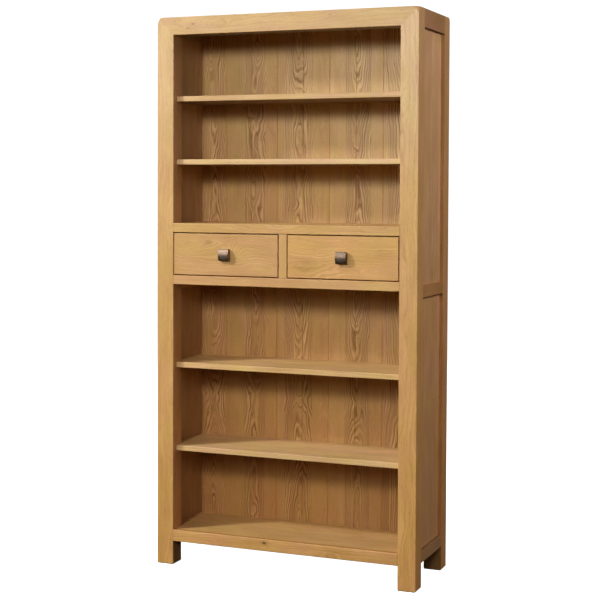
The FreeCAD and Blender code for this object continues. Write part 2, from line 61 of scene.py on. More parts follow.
# Name, place, diameter, watts, colour, whether gloss shows it
LIGHTS = (
    ("key_left", (-3.10, -2.48, 3.20), 0.5, 105.0, COOL, True),
    ("key_high", (-3.68, -3.56, 5.10), 0.9, 98.0, COOL, True),
    ("key_front", (0.00, -4.04, 2.42), 0.6, 50.0, WHITE, True),
    ("front_far", (0.44, -6.29, 2.67), 1.4, 44.0, WHITE, True),
    ("front_left", (-3.15, -5.46, 2.67), 1.6, 27.0, WHITE, True),
    ("front_right", (1.80, -4.30, 2.55), 0.8, 22.0, WHITE, True),
    ("fill_right", (3.20, 0.00, 2.60), 1.2, 46.0, WARM_GREY, False),
    ("rear", (-1.60, 4.60, 3.00), 1.5, 150.0, WHITE, True),
)
FLOOR_HALF = 30.0
FLOOR_GREY = 0.8
FLOOR_ROUGHNESS = 0.9
SKY_SEEN = 1.1                          # brightness that the camera sees
SKY_BAND = (-0.02, 0.22, 0.0, 0.14)     # sines of two heights over the horizon, brightness at each
SKY_FALL = 4.0                          # how fast the band fades overhead

# ---------------------------------------------------------------- oak values
PALE_WOOD = (0.840, 0.510, 0.215)
PLAIN_WOOD = (0.640, 0.358, 0.121)
DARK_WOOD = (0.350, 0.142, 0.031)
PORE_BROWN = (0.120, 0.050, 0.014)
KNOT_BROWN = (0.150, 0.052, 0.010)
PINK_CAST = (1.02, 0.975, 1.04)
STRAW_CAST = (0.995, 1.01, 0.88)
REDDER_WHEN_DARK = (0.72, 1.00, 1.30)   # how far each channel follows the streaks

# Noise in the wood: waves per metre along, across and into the board
DRIFT_WAVES = (3.0, 8.0, 8.0)           # slow drift of the pith line
RIPPLE_WAVES = (16.0, 80.0, 80.0)       # small waves of each ring
PATCH_WAVES = (6.0, 32.0, 32.0)         # where the figure is strong or faint
STREAK_WAVES = (3.2, 150.0, 150.0)
SPECK_WAVES = (70.0, 1500.0, 1500.0)
RAY_WAVES = (300.0, 60.0, 420.0)
CLOUD_ALONG, CLOUD_ACROSS = 7.0, 19.0   # broad changes of tone
# Noise from ring to ring: waves per metre of radius
UNEVEN_WAVES = 60.0
FORCE_WAVES = 90.0
BROAD_WAVES = 26.0

PITH_BOW = 0.42                         # the pith leans one way for this length, then the other
DRIFT_SHARE = (0.0, 0.4, 1.0)
RIPPLE_DEPTH = 0.0030
SEED_STEP = (1.13, 0.71, 0.37)          # how far a seed moves the noise
HALVES = (0.5, 0.5, 0.5)                # the middle of what a noise gives
BROAD_SEED_STEP = 1.7
EARLY_UNEVEN = 2.0                      # how far ring widths vary, in rings
BAND_UNEVEN = 1.6
BAND_RINGS = 2.2                        # rings to one band of the figure
# Where each rises and falls within one ring or band, as shares of its width
EARLY_RISE, EARLY_FALL = (0.0, 0.04), (0.60, 0.05)
DARK_RISE, DARK_FALL = (0.0, 0.08), (0.40, 0.14)
PALE_RISE, PALE_FALL = (0.40, 0.56), (0.98, 0.82)
# Ramps: noise from and to, then what they give
FORCE_RAMP = (0.34, 0.58, 0.25, 1.0)
PATCH_RAMP = (0.38, 0.60, 0.30, 1.0)
PORE_RAMP = (0.56, 0.66)
PORE_IN_RING = (0.1, 0.9, 0.25, 1.0)
FLECK_RAMP = (0.60, 0.70)
RADIAL_FACE = (0.86, 0.99)              # ray flecks show where the rings stand square to the face
BROAD_RAMP = (0.42, 0.70, 0.0, 0.18)
CAST_RAMP = (0.35, 0.65)
STREAK_ROUGHNESS = (0.3, 0.7, 0.40, 0.47)

EARLY_DARK = 0.20
PALE_STRENGTH = 1.3
STREAK_SWING = 0.24                     # of the tone, on a board with no contrast
STREAK_SWING_FIGURED = 0.3              # more of it, times the contrast
CLOUD_SWING = 0.50
FLECK_STRENGTH = 0.16
PORE_STRENGTH = 0.40
EARLY_ROUGHER = 0.04
PORE_ROUGHER = 0.15
EARLY_RELIEF = -0.35
PORE_RELIEF = -1.0
OAK_BUMP = (0.30, 0.0002)               # strength, depth
OAK_SPECULAR = 0.55

STAVE_PITH_SPREAD = (0.0, 0.14, 0.05)   # glued staves differ in pith, seed and tone
STAVE_SEED_SPREAD = 31.0
STAVE_TONES = (0.95, 1.05)
PLAIN_PITH_MOVE = (0.0, 0.16, 0.10)     # beside a crown the pith lies this much further off
PLAIN_TONE, CROWN_TONE = 1.05, 0.98

KNOT_SQUASH = 0.55                      # a knot is longer along the grain
KNOT_REACH = (3.2, 0.2)                 # in knot sizes: where it starts to push, where fully
KNOT_PUSH = 1.6
KNOT_CORE = (1.0, 0.15, 0.0, 0.75)      # in knot sizes: from and to, then the darkness
KNOT_HALO = (2.4, 0.3, 0.0, 0.25)

FOOT_HEIGHTS = (1.8, 0.1)               # where a foot tint starts, and where it is full
PAINTED_SHEEN_HEIGHTS = (1.3, 1.6)
FACING_RAMP = (0.6, 0.9)                # cosines between which a face comes to count as turned that way
DOWN, UP = (0.0, 0.0, -1.0), (0.0, 0.0, 1.0)
RIGHT, FRONT = (1.0, 0.0, 0.0), (0.0, -1.0, 0.0)
# Painted shade on every face turned down
UNDERSIDE_PAINTED_SHADE = (DOWN, (0.32, 0.25, 0.16))  # faces turned down are darker, as in the photo

# ---------------------------------------------------------------- each board's own values
# Shades and tints were chosen by comparing with the photo, so part of them is its light, not the wood
# Painted light: near the floor these tints change each board's colour
POST_FOOT = (1.14, 1.00, 0.80)
# Painted sheen of light on the upper front faces of the posts
POST_PAINTED_SHEEN = {"post_front_left": (1.00, 1.05, 1.09), "post_front_right": (1.03, 1.12, 1.30)}
PANEL_FOOT = (0.94, 0.90, 0.84)
BACK_SHADE = (0.87, 0.96, 0.99)
BACK_FOOT = (0.85, 0.68, 0.52)
BACK_FEET_RIGHT = {7: (0.75, 0.57, 0.41), 8: (0.69, 0.50, 0.33), 9: (0.69, 0.50, 0.33)}
SHADES = {
    "post_front_left": (0.94, 1.00, 1.07),
    "post_front_right": (0.97, 1.01, 1.07),
    "post_rear_right": (0.90, 0.88, 1.00),
    "top_rail_front": (0.92, 0.98, 1.10),
    "bottom_rail_front": (1.10, 1.02, 0.96),
    "drawer_rail_upper": (0.98, 0.98, 0.92),
    "left_drawer_front": (0.96, 0.95, 0.92),
    "right_drawer_front": (1.04, 1.00, 0.88),
    "side_panel_upper_left": (0.85, 0.89, 1.00),
    "side_panel_lower_left": (0.79, 0.79, 0.86),
    "side_panel_upper_right": (1.02, 1.05, 1.31),
    "side_panel_lower_right": (1.09, 1.07, 1.24),
    "side_rail_top_right": (0.70, 0.64, 0.78),
    "side_rail_middle_right": (0.82, 0.73, 0.72),
    "side_rail_bottom_right": (0.78, 0.76, 0.90),
    "top_panel": (0.80, 0.80, 0.80),
    "shelf_upper_2": (0.94, 1.00, 1.15),
    "shelf_upper_1": (1.12, 1.29, 1.72),
    "board_over_drawers": (1.20, 1.26, 1.30),
    "board_under_drawers": (1.00, 1.06, 1.20),
    "shelf_lower_2": (1.20, 1.31, 1.48),
    "shelf_lower_1": (1.20, 1.33, 1.62),
    "bottom_board": (1.05, 1.08, 1.12),
    "back_board_1": (0.90, 0.95, 1.02),
    "back_board_3": (0.86, 0.90, 0.91),
    "back_board_6": (0.90, 1.03, 1.13),
    "back_board_7": (0.90, 1.05, 1.20),
    "back_board_8": (0.93, 1.11, 1.29),
    "back_board_9": (0.93, 1.11, 1.29),
}
# Painted light and shade on faces unlike the rest of their board: the way they are turned, and their tint
PAINTED_FACE_LIGHT = {
    "drawer_rail_lower": (UP, (0.76, 0.45, 0.17)),
    "board_under_drawers": (UP, (0.90, 0.65, 0.40)),
    "side_rail_bottom_right": (UP, (0.55, 0.52, 0.50)),
    "side_rail_top_left": (RIGHT, (0.55, 0.80, 1.10)),
    "side_panel_upper_left": (RIGHT, (1.00, 1.06, 1.40)),
    "side_panel_lower_left": (RIGHT, (0.95, 0.98, 1.10)),
    "post_front_left": (RIGHT, (0.90, 0.80, 0.92)),
    "bottom_rail_front": (UP, (0.76, 0.69, 0.52)),
}
# Knots: along and across the board from its middle, size, swirl of the figure round it, dark core
KNOTS = {
    "top_rail_front": ((-0.336, 0.004, 0.0055, 0.8, 0.55), (-0.355, -0.010, 0.0045, 0.4, 0.40),
                       (-0.340, -0.006, 0.018, 0.2, 0.10), (-0.237, -0.006, 0.012, 0.6, 0.12),
                       (0.166, 0.015, 0.003, 0.3, 0.35)),
    "bottom_rail_front": ((-0.064, 0.008, 0.006, 0.9, 1.00), (0.180, -0.004, 0.010, 0.7, 0.08)),
    "left_drawer_front": ((-0.148, 0.041, 0.016, 1.0, 0.05), (-0.064, 0.043, 0.012, 0.7, 0.34),
                          (0.119, 0.002, 0.024, 1.2, 0.04)),
    "right_drawer_front": ((-0.120, -0.023, 0.030, 0.5, 0.17), (0.150, -0.045, 0.018, 0.8, 0.05)),
}
# Boards with mostly straight grain: ranges that each board draws its own values from
PITH_BESIDE = (0.03, 0.07)
PITH_BEHIND = (0.05, 0.11)
LEAN_BESIDE = 0.012                     # metres per metre, either way
LEAN_BEHIND = 0.02
RING_WIDTHS = (0.0028, 0.0040)
WANDERS = (0.012, 0.022)
SEEDS = (0.0, 90.0)
# Contrast of the figure, and how much the rings wander, by kind of board
PLAIN_CONTRAST = 0.09                   # every board that has no value of its own below
POST_CONTRAST = 0.18
RAIL_CONTRAST = 0.16
BOTTOM_RAIL_CONTRAST = 0.28
PANEL_CONTRAST = 0.26
SHELF_CONTRAST = 0.18
FRONT_CONTRAST = 0.20
FRAME_WANDER = 0.05
FRONT_WANDER = 0.09
PANEL_STAVE = 0.083
SHELF_STAVE = 0.089
DRAWER_STAVE = 0.09
# Back boards, left to right. Boards; where the strong figure starts and stops across the case;
# where its pith lies across and behind the face; the slope of that depth; seed; wander of the rings
BACK_FIGURES = (
    ((1,), -0.450, -0.345, -0.390, 0.037, 0.10, 1.0, 0.09),
    ((2, 3), -0.266, -0.187, -0.225, 0.040, 0.10, 2.0, 0.09),
    ((4, 5), -0.110, -0.003, -0.055, 0.037, 0.10, 3.4, 0.09),
    ((6, 7), 0.120, 0.213, 0.168, 0.024, 0.11, 7.3, 0.09),
    ((8,), 0.262, 0.335, 0.345, 0.060, 0.05, 5.0, 0.05),
    ((9,), 0.370, 0.420, 0.385, 0.045, 0.05, 8.4, 0.09),
)
BACK_RING = 0.0025
BACK_CONTRAST = 0.13                    # beside the strong figure

# ---------------------------------------------------------------- metal and pin values
PEWTER_DARK = (0.195, 0.128, 0.084)
PEWTER_LIGHT = (0.450, 0.315, 0.215)
PEWTER_TONES = {"left": 0.95, "right": 0.78}
BRUSH_WAVES = (60.0, 900.0, 2600.0)     # per metre in X, Y and Z: brushed from side to side
PEWTER_CLOUD_WAVES = (120.0, 120.0, 120.0)
BRUSH_RAMP = (0.3, 0.7, 0.0, 0.5)
PEWTER_CLOUD_RAMP = (0.35, 0.65, 0.0, 0.5)
PEWTER_ROUGHNESS = (0.3, 0.7, 0.46, 0.60)
PEWTER_BUMP = (0.25, 0.0001)            # strength, depth
STEEL_DARK = (0.46, 0.46, 0.45)
STEEL_LIGHT = (0.62, 0.62, 0.60)
STEEL_CLOUD_WAVES = (500.0, 500.0, 500.0)
STEEL_CLOUD_RAMP = (0.35, 0.65)
STEEL_ROUGHNESS = (0.3, 0.7, 0.30, 0.45)
PIN_HEAD_RADIUS = 0.0026
PIN_HEAD_HEIGHT = 0.0009
PIN_SIDES = 16
PIN_DOME = ((1.0, 0.0), (0.86, 0.6), (0.45, 0.93))   # shares of the head's radius and height
BACK_BOARDS = range(1, 10)


# ---------------------------------------------------------------- shader graph helper
class Graph:
    """A node tree written as short calls; each call returns the output socket that it makes."""

    def __init__(self, tree):
        self.tree = tree

    def feed(self, socket, value):
        if isinstance(value, bpy.types.NodeSocket):
            self.tree.links.new(value, socket)
        else:
            socket.default_value = value

    def node(self, kind, inputs=None, **settings):
        made = self.tree.nodes.new(kind)
        for name, value in settings.items():
            setattr(made, name, value)
        for key, value in (inputs or {}).items():
            self.feed(made.inputs[key], value)
        return made

    def math(self, operation, *values, clamp=False):
        made = self.node("ShaderNodeMath", dict(enumerate(values)), operation=operation)
        made.use_clamp = clamp
        return made.outputs[0]

    def vector(self, operation, *values):
        made = self.node("ShaderNodeVectorMath", dict(enumerate(values)), operation=operation)
        return made.outputs[1 if operation in ("LENGTH", "DOT_PRODUCT") else 0]

    def scaled(self, vector, factor):
        made = self.node("ShaderNodeVectorMath", {0: vector, "Scale": factor}, operation="SCALE")
        return made.outputs[0]

    def combine(self, x, y, z):
        return self.node("ShaderNodeCombineXYZ", {0: x, 1: y, 2: z}).outputs[0]

    def separate(self, vector):
        made = self.node("ShaderNodeSeparateXYZ", {0: vector})
        return [made.outputs[i] for i in range(3)]

    def noise(self, place, waves, detail=2.0, roughness=0.5, colour=False):
        stretched = self.vector("MULTIPLY", place, waves)
        made = self.node("ShaderNodeTexNoise", {"Vector": stretched, "Scale": 1.0, "Detail": detail,
                                                "Roughness": roughness})
        return made.outputs[1 if colour else 0]

    def noise_line(self, value):
        made = self.node("ShaderNodeTexNoise", noise_dimensions="1D")
        for key, given in (("W", value), ("Scale", 1.0), ("Detail", 1.0), ("Roughness", 0.5)):
            self.feed(made.inputs[key], given)
        return made.outputs[0]

    def ramp(self, value, low, high, to_low=0.0, to_high=1.0, kind="SMOOTHSTEP"):
        made = self.node("ShaderNodeMapRange", {0: value, 1: low, 2: high, 3: to_low, 4: to_high},
                         interpolation_type=kind)
        return made.outputs[0]

    def mix(self, factor, first, second, blend="MIX"):
        made = self.node("ShaderNodeMix", data_type="RGBA", blend_type=blend)
        for index, value in ((0, factor), (6, first), (7, second)):
            if isinstance(value, tuple):
                value = (*value, 1.0)
            self.feed(made.inputs[index], value)
        return made.outputs[2]

    def times(self, colour, tint):
        return self.mix(1.0, colour, tint, "MULTIPLY")

    def tinted(self, share, colour, tint):
        return self.mix(share, colour, self.times(colour, tint))

    def facing(self, normal, direction):
        return self.ramp(self.vector("DOT_PRODUCT", normal, direction), *FACING_RAMP)

    def bump(self, strength, depth, height):
        made = self.node("ShaderNodeBump", {"Strength": strength, "Distance": depth, "Height": height})
        return made.outputs[0]


def new_material(name):
    """A material with its graph, its shader and the place on the surface, in the model's frame."""
    material = bpy.data.materials.new(name)
    material.use_nodes = True
    g = Graph(material.node_tree)
    place = g.node("ShaderNodeTexCoord").outputs["Object"]
    return material, g, material.node_tree.nodes["Principled BSDF"], place


# ---------------------------------------------------------------- oak
def make_grain_group():
    """Oak as a solid: growth rings round a pith line, streaks, pores and ray flecks.

    The point is given along, across and into the board, measured from the board's middle.
    """
    tree = bpy.data.node_groups.new("oak_grain", "ShaderNodeTree")
    for name, kind in (("Point", "NodeSocketVector"), ("Pith", "NodeSocketVector"),
                       ("Slope", "NodeSocketVector"), ("Bend", "NodeSocketVector"),
                       ("Ring", "NodeSocketFloat"), ("Wander", "NodeSocketFloat"),
                       ("Seed", "NodeSocketFloat")):
        tree.interface.new_socket(name, in_out="INPUT", socket_type=kind)
    for name in ("Early", "Dark", "Pale", "Broad", "Streak", "Pore", "Fleck"):
        tree.interface.new_socket(name, in_out="OUTPUT", socket_type="NodeSocketFloat")
    g = Graph(tree)
    given = tree.nodes.new("NodeGroupInput").outputs
    point, seed = given["Point"], given["Seed"]
    along = g.separate(point)[0]
    placed = g.vector("ADD", point, g.scaled(SEED_STEP, seed))

    # Distance from the pith line, which bows, drifts, and bends round knots
    drift = g.noise(placed, DRIFT_WAVES, detail=3.0, colour=True)
    drift = g.vector("MULTIPLY", g.vector("SUBTRACT", drift, HALVES), DRIFT_SHARE)
    bowed = g.math("SUBTRACT", g.math("PINGPONG", along, PITH_BOW), PITH_BOW / 2)
    radial = g.vector("SUBTRACT", point, given["Pith"])
    radial = g.vector("SUBTRACT", radial, g.scaled(given["Slope"], bowed))
    radial = g.vector("ADD", radial, g.scaled(drift, given["Wander"]))
    radial = g.vector("ADD", radial, given["Bend"])
    _, across, into = g.separate(radial)
    radius = g.vector("LENGTH", g.combine(0.0, across, into))
    ripple = g.noise(placed, RIPPLE_WAVES)
    radius = g.math("MULTIPLY_ADD", g.math("SUBTRACT", ripple, 0.5), RIPPLE_DEPTH, radius)

    # Growth rings, and the wider dark and pale bands that make the figure
    uneven = g.noise_line(g.math("MULTIPLY", radius, UNEVEN_WAVES))
    turns = g.math("ADD", g.math("DIVIDE", radius, given["Ring"]), g.math("MULTIPLY", uneven, EARLY_UNEVEN))
    part = g.math("FRACT", turns)
    early = g.math("MULTIPLY", g.ramp(part, *EARLY_FALL), g.ramp(part, *EARLY_RISE))
    bands = g.math("DIVIDE", radius, g.math("MULTIPLY", given["Ring"], BAND_RINGS))
    band = g.math("FRACT", g.math("ADD", bands, g.math("MULTIPLY", uneven, BAND_UNEVEN)))
    force = g.ramp(g.noise_line(g.math("MULTIPLY_ADD", radius, FORCE_WAVES, seed)), *FORCE_RAMP)
    force = g.math("MULTIPLY", force, g.ramp(g.noise(placed, PATCH_WAVES), *PATCH_RAMP))
    dark = g.math("MULTIPLY", g.ramp(band, *DARK_RISE), g.math("MULTIPLY", g.ramp(band, *DARK_FALL), force))
    pale = g.math("MULTIPLY", g.ramp(band, *PALE_RISE), g.math("MULTIPLY", g.ramp(band, *PALE_FALL), force))
    broad_seed = g.math("MULTIPLY", seed, BROAD_SEED_STEP)
    broad = g.noise_line(g.math("MULTIPLY_ADD", radius, BROAD_WAVES, broad_seed))

    # Streaks, pores, and flecks on the faces that the rays cross
    streak = g.noise(placed, STREAK_WAVES, detail=3.0, roughness=0.62)
    specks = g.noise(placed, SPECK_WAVES, detail=1.0)
    pore = g.math("MULTIPLY", g.ramp(specks, *PORE_RAMP), g.ramp(early, *PORE_IN_RING))
    rays = g.noise(placed, RAY_WAVES, detail=1.0)
    radial_face = g.ramp(g.math("ABSOLUTE", g.math("DIVIDE", across, radius)), *RADIAL_FACE)
    fleck = g.math("MULTIPLY", g.ramp(rays, *FLECK_RAMP), radial_face)

    made = tree.nodes.new("NodeGroupOutput").inputs
    for name, value in (("Early", early), ("Dark", dark), ("Pale", pale), ("Broad", broad),
                        ("Streak", streak), ("Pore", pore), ("Fleck", fleck)):
        tree.links.new(value, made[name])
    return tree


grain_group = make_grain_group()


def knot_terms(g, point, knots):
    """Bend of the rings and darkness for knots given as (along, across, size, swirl, core)."""
    bend, dark = None, None
    for along, across, size, swirl, core in knots:
        offset = g.vector("SUBTRACT", point, (along, across, 0.0))
        near = g.vector("LENGTH", g.vector("MULTIPLY", offset, (KNOT_SQUASH / size, 1.0 / size, 0.0)))
        push = g.math("MULTIPLY", g.ramp(near, *KNOT_REACH), size * KNOT_PUSH * swirl)
        side = g.math("SIGN", g.separate(offset)[1])
        step = g.combine(0.0, g.math("MULTIPLY", push, side), push)
        bend = step if bend is None else g.vector("ADD", bend, step)
        stain = g.math("ADD", g.ramp(near, *KNOT_CORE), g.ramp(near, *KNOT_HALO))
        stain = g.math("MULTIPLY", stain, core)
        dark = stain if dark is None else g.math("MAXIMUM", dark, stain)
    return bend, dark


def vary_staves(g, across, width, pith, seed):
    """Own pith, seed and tone for each glued stave of the given width."""
    index = g.math("FLOOR", g.math("DIVIDE", across, width))
    pick = g.node("ShaderNodeTexWhiteNoise", noise_dimensions="1D")
    g.feed(pick.inputs["W"], g.math("ADD", index, seed))
    spread = g.vector("SUBTRACT", pick.outputs["Color"], HALVES)
    pith = g.vector("ADD", g.vector("MULTIPLY", spread, STAVE_PITH_SPREAD), pith)
    seed = g.math("MULTIPLY_ADD", pick.outputs["Value"], STAVE_SEED_SPREAD, seed)
    tone = g.ramp(pick.outputs["Value"], 0.0, 1.0, *STAVE_TONES, kind="LINEAR")
    return pith, seed, tone


def vary_crown(g, across, crown, pith, contrast):
    """Pith, contrast and tone: strong figure inside the crown, plainer wood beside it."""
    start, stop = crown
    inside = g.math("MULTIPLY", g.math("GREATER_THAN", across, start), g.math("LESS_THAN", across, stop))
    pith = g.vector("ADD", g.scaled(PLAIN_PITH_MOVE, g.math("SUBTRACT", 1.0, inside)), pith)
    contrast = g.ramp(inside, 0.0, 1.0, contrast, 1.0, "LINEAR")
    tone = g.ramp(inside, 0.0, 1.0, PLAIN_TONE, CROWN_TONE, "LINEAR")
    return pith, contrast, tone


def oak(name, axes, origin, pith, slope, ring, wander, contrast, shade, seed,
        foot=None, head=None, turned=None, staves=0.0, crown=None, knots=()):
    """Satin lacquered oak. axes names the row axes that lie along, across and into the board.

    shade multiplies the board's colour.
    foot does so near the floor, less and less up to 1.8 m, as painted light.
    head does so on the front face from 1.6 m up, less and less down to 1.3 m, as a painted sheen of light.
    turned is (direction, colour): painted light and shade; faces turned that way are multiplied by the
    colour.
    staves is the width of the staves that the board is glued from.
    crown is (from, to): the figure is at full strength between those places across the board.
    """
    material, g, shader, place = new_material(name)
    row = dict(zip("xyz", g.separate(g.vector("SUBTRACT", place, tuple(origin)))))
    point = g.combine(*(row[axis] for axis in axes))
    pith = (0.0, *pith)
    lift = 1.0
    if staves:
        pith, seed, lift = vary_staves(g, row[axes[1]], staves, pith, seed)
    if crown:
        pith, contrast, lift = vary_crown(g, row[axes[1]], crown, pith, contrast)
    group = g.node("ShaderNodeGroup", node_tree=grain_group)
    bend, knot_dark = knot_terms(g, point, knots)
    for key, value in (("Point", point), ("Pith", pith), ("Slope", (0.0, *slope)), ("Ring", ring),
                       ("Wander", wander), ("Seed", seed), ("Bend", bend)):
        if value is not None:
            g.feed(group.inputs[key], value)
    early, dark, pale, broad, streak, pore, fleck = group.outputs

    # The figure: pale and dark bands on plain wood
    dark = g.math("MULTIPLY_ADD", early, EARLY_DARK, dark)
    dark = g.math("ADD", dark, g.ramp(broad, *BROAD_RAMP))
    dark = g.math("MULTIPLY", dark, contrast, clamp=True)
    light = g.math("MULTIPLY", g.math("MULTIPLY", pale, PALE_STRENGTH), contrast, clamp=True)
    colour = g.mix(light, PLAIN_WOOD, PALE_WOOD)
    colour = g.mix(dark, colour, DARK_WOOD)

    # Streaks and clouds of tone, the board's own shade, and a cast that changes over it
    streak_swing = g.math("MULTIPLY_ADD", contrast, STREAK_SWING_FIGURED, STREAK_SWING)
    swing = g.math("MULTIPLY", g.math("SUBTRACT", streak, 0.5), streak_swing)
    cloud_waves = tuple(CLOUD_ALONG if axis == axes[0] else CLOUD_ACROSS for axis in "xyz")
    wide, cast, _ = g.separate(g.noise(place, cloud_waves, colour=True))
    swing = g.math("ADD", swing, g.math("MULTIPLY", g.math("SUBTRACT", wide, 0.5), CLOUD_SWING))
    tone = g.vector("ADD", g.scaled(REDDER_WHEN_DARK, swing), WHITE)
    tone = g.vector("MULTIPLY", g.scaled(shade, lift), tone)
    colour = g.times(colour, tone)
    colour = g.times(colour, g.mix(g.ramp(cast, *CAST_RAMP), PINK_CAST, STRAW_CAST))
    # Painted light: the colour changes towards the floor
    if foot:
        low_down = g.ramp(g.separate(place)[2], *FOOT_HEIGHTS, kind="LINEAR")
        colour = g.tinted(low_down, colour, foot)

    # Marks in the wood, then painted light and shade on the faces that differ
    colour = g.mix(g.math("MULTIPLY", fleck, FLECK_STRENGTH), colour, PALE_WOOD)
    colour = g.mix(g.math("MULTIPLY", pore, PORE_STRENGTH), colour, PORE_BROWN)
    if knot_dark is not None:
        colour = g.mix(knot_dark, colour, KNOT_BROWN)
    normal = g.node("ShaderNodeNewGeometry").outputs["True Normal"]
    # Painted shade on faces turned down, then painted light and shade on the faces listed for the board
    for direction, tint in (UNDERSIDE_PAINTED_SHADE, turned) if turned else (UNDERSIDE_PAINTED_SHADE,):
        colour = g.tinted(g.facing(normal, direction), colour, tint)
    # Painted sheen of light on front faces high up
    if head:
        high_up = g.ramp(g.separate(place)[2], *PAINTED_SHEEN_HEIGHTS)
        colour = g.tinted(g.math("MULTIPLY", high_up, g.facing(normal, FRONT)), colour, head)
    g.feed(shader.inputs["Base Color"], colour)

    shader.inputs["Specular IOR Level"].default_value = OAK_SPECULAR
    rough = g.math("MULTIPLY_ADD", early, EARLY_ROUGHER, g.ramp(streak, *STREAK_ROUGHNESS))
    g.feed(shader.inputs["Roughness"], g.math("MULTIPLY_ADD", pore, PORE_ROUGHER, rough))
    relief = g.math("MULTIPLY_ADD", pore, PORE_RELIEF, g.math("MULTIPLY", early, EARLY_RELIEF))
    g.feed(shader.inputs["Normal"], g.bump(*OAK_BUMP, relief))
    return material


def middle(node):
    low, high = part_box(node)
    return (low + high) / 2


def wear(node, material):
    """Puts a material on a CAD node in place of its own."""
    data = nodes[node].data
    data.materials.clear()
    data.materials.append(material)


def dress_straight(node, axes, **look):
    """Oak with mostly straight grain: the pith lies well behind and beside the board."""
    draw = random.Random("oak " + node)
    side = draw.choice((-1, 1))
    values = {
        "pith": (side * draw.uniform(*PITH_BESIDE), draw.uniform(*PITH_BEHIND)),
        "slope": (draw.uniform(-LEAN_BESIDE, LEAN_BESIDE), draw.uniform(-LEAN_BEHIND, LEAN_BEHIND)),
        "ring": draw.uniform(*RING_WIDTHS),
        "wander": draw.uniform(*WANDERS),
        "seed": draw.uniform(*SEEDS),
        "contrast": PLAIN_CONTRAST,
        "shade": SHADES.get(node, WHITE),
        "turned": PAINTED_FACE_LIGHT.get(node),
        "knots": KNOTS.get(node, ()),
    }
    values.update(look)
    wear(node, oak("oak_" + node, axes, middle(node), **values))


def dress_carcass():
    for end, axes in (("front", "zxy"), ("rear", "zyx")):
        for side in ("left", "right"):
            post = f"post_{end}_{side}"
            dress_straight(post, axes, foot=POST_FOOT, head=POST_PAINTED_SHEEN.get(post), wander=FRAME_WANDER,
                           contrast=POST_CONTRAST)
    for name in ("top_rail_front", "top_rail_rear", "bottom_rail_rear", "middle_rail_rear",
                 "drawer_rail_lower", "drawer_rail_upper"):
        dress_straight(name, "xzy", wander=FRAME_WANDER, contrast=RAIL_CONTRAST)
    dress_straight("bottom_rail_front", "xzy", wander=FRAME_WANDER, contrast=BOTTOM_RAIL_CONTRAST)
    dress_straight("drawer_muntin", "zxy")
    dress_straight("drawer_divider", "yzx")
    for level in ("top", "middle", "bottom"):
        for side in ("left", "right"):
            dress_straight(f"side_rail_{level}_{side}", "yzx")
    for level in ("upper", "lower"):
        for side in ("left", "right"):
            dress_straight(f"side_panel_{level}_{side}", "zyx", staves=PANEL_STAVE,
                           contrast=PANEL_CONTRAST, foot=PANEL_FOOT)
    for name in ("top_panel", "shelf_upper_2", "shelf_upper_1", "board_over_drawers",
                 "board_under_drawers", "shelf_lower_2", "shelf_lower_1", "bottom_board"):
        dress_straight(name, "xyz", staves=SHELF_STAVE, contrast=SHELF_CONTRAST)
    for name in ("drawer_guide_left", "drawer_guide_right", "drawer_kickers"):
        dress_straight(name, "yxz")
    for name in ("drawer_stops", "mitre_tongues"):
        dress_straight(name, "xyz")


def dress_drawers():
    for hand in ("left", "right"):
        dress_straight(f"{hand}_drawer_front", "xzy", contrast=FRONT_CONTRAST, wander=FRONT_WANDER)
        for side in ("left", "right"):
            dress_straight(f"{hand}_drawer_side_{side}", "yzx")
        dress_straight(f"{hand}_drawer_back", "xzy")
        dress_straight(f"{hand}_drawer_bottom", "xyz", staves=DRAWER_STAVE)


def dress_back():
    """The figure of a board runs on into the next one where a row names both."""
    for numbers, start, stop, across, behind, slope, seed, wander in BACK_FIGURES:
        for number in numbers:
            name = f"back_board_{number}"
            face = Vector((0.0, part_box(name)[0].y, middle(name).z))
            foot = BACK_FEET_RIGHT.get(number, BACK_FOOT)
            wear(name, oak("oak_" + name, "zxy", face, (across, behind), (0.0, slope), BACK_RING, wander,
                           BACK_CONTRAST, SHADES.get(name, BACK_SHADE), seed, foot=foot,
                           crown=(start, stop)))


dress_carcass()
dress_drawers()
dress_back()


# ---------------------------------------------------------------- metals
def scaled_colour(colour, factor):
    return tuple(channel * factor for channel in colour)


def pewter(name, centre, tone):
    """Aged pewter, brushed across the face, lighter in patches; tone multiplies its colours."""
    material, g, shader, place = new_material(name)
    place = g.vector("SUBTRACT", place, tuple(centre))
    brushed = g.noise(place, BRUSH_WAVES, detail=3.0, roughness=0.7)
    cloud = g.noise(place, PEWTER_CLOUD_WAVES, detail=4.0, roughness=0.6)
    light = g.math("ADD", g.ramp(brushed, *BRUSH_RAMP), g.ramp(cloud, *PEWTER_CLOUD_RAMP))
    colour = g.mix(light, scaled_colour(PEWTER_DARK, tone), scaled_colour(PEWTER_LIGHT, tone))
    g.feed(shader.inputs["Base Color"], colour)
    shader.inputs["Metallic"].default_value = 1.0
    g.feed(shader.inputs["Roughness"], g.ramp(cloud, *PEWTER_ROUGHNESS))
    g.feed(shader.inputs["Normal"], g.bump(*PEWTER_BUMP, brushed))
    return material


def plated_steel():
    material, g, shader, place = new_material("zinc_plated_steel")
    cloud = g.noise(place, STEEL_CLOUD_WAVES, detail=3.0)
    g.feed(shader.inputs["Base Color"], g.mix(g.ramp(cloud, *STEEL_CLOUD_RAMP), STEEL_DARK, STEEL_LIGHT))
    shader.inputs["Metallic"].default_value = 1.0
    g.feed(shader.inputs["Roughness"], g.ramp(cloud, *STEEL_ROUGHNESS))
    return material


steel = plated_steel()
for hand, tone in PEWTER_TONES.items():
    knob = f"{hand}_drawer_knob"
    wear(knob, pewter(f"pewter_{hand}", middle(knob), tone))
    wear(f"{knob}_screw", steel)


# ---------------------------------------------------------------- small fasteners
def put_in_scene(name, data):
    thing = bpy.data.objects.new(name, data)
    bpy.context.scene.collection.objects.link(thing)
    return thing


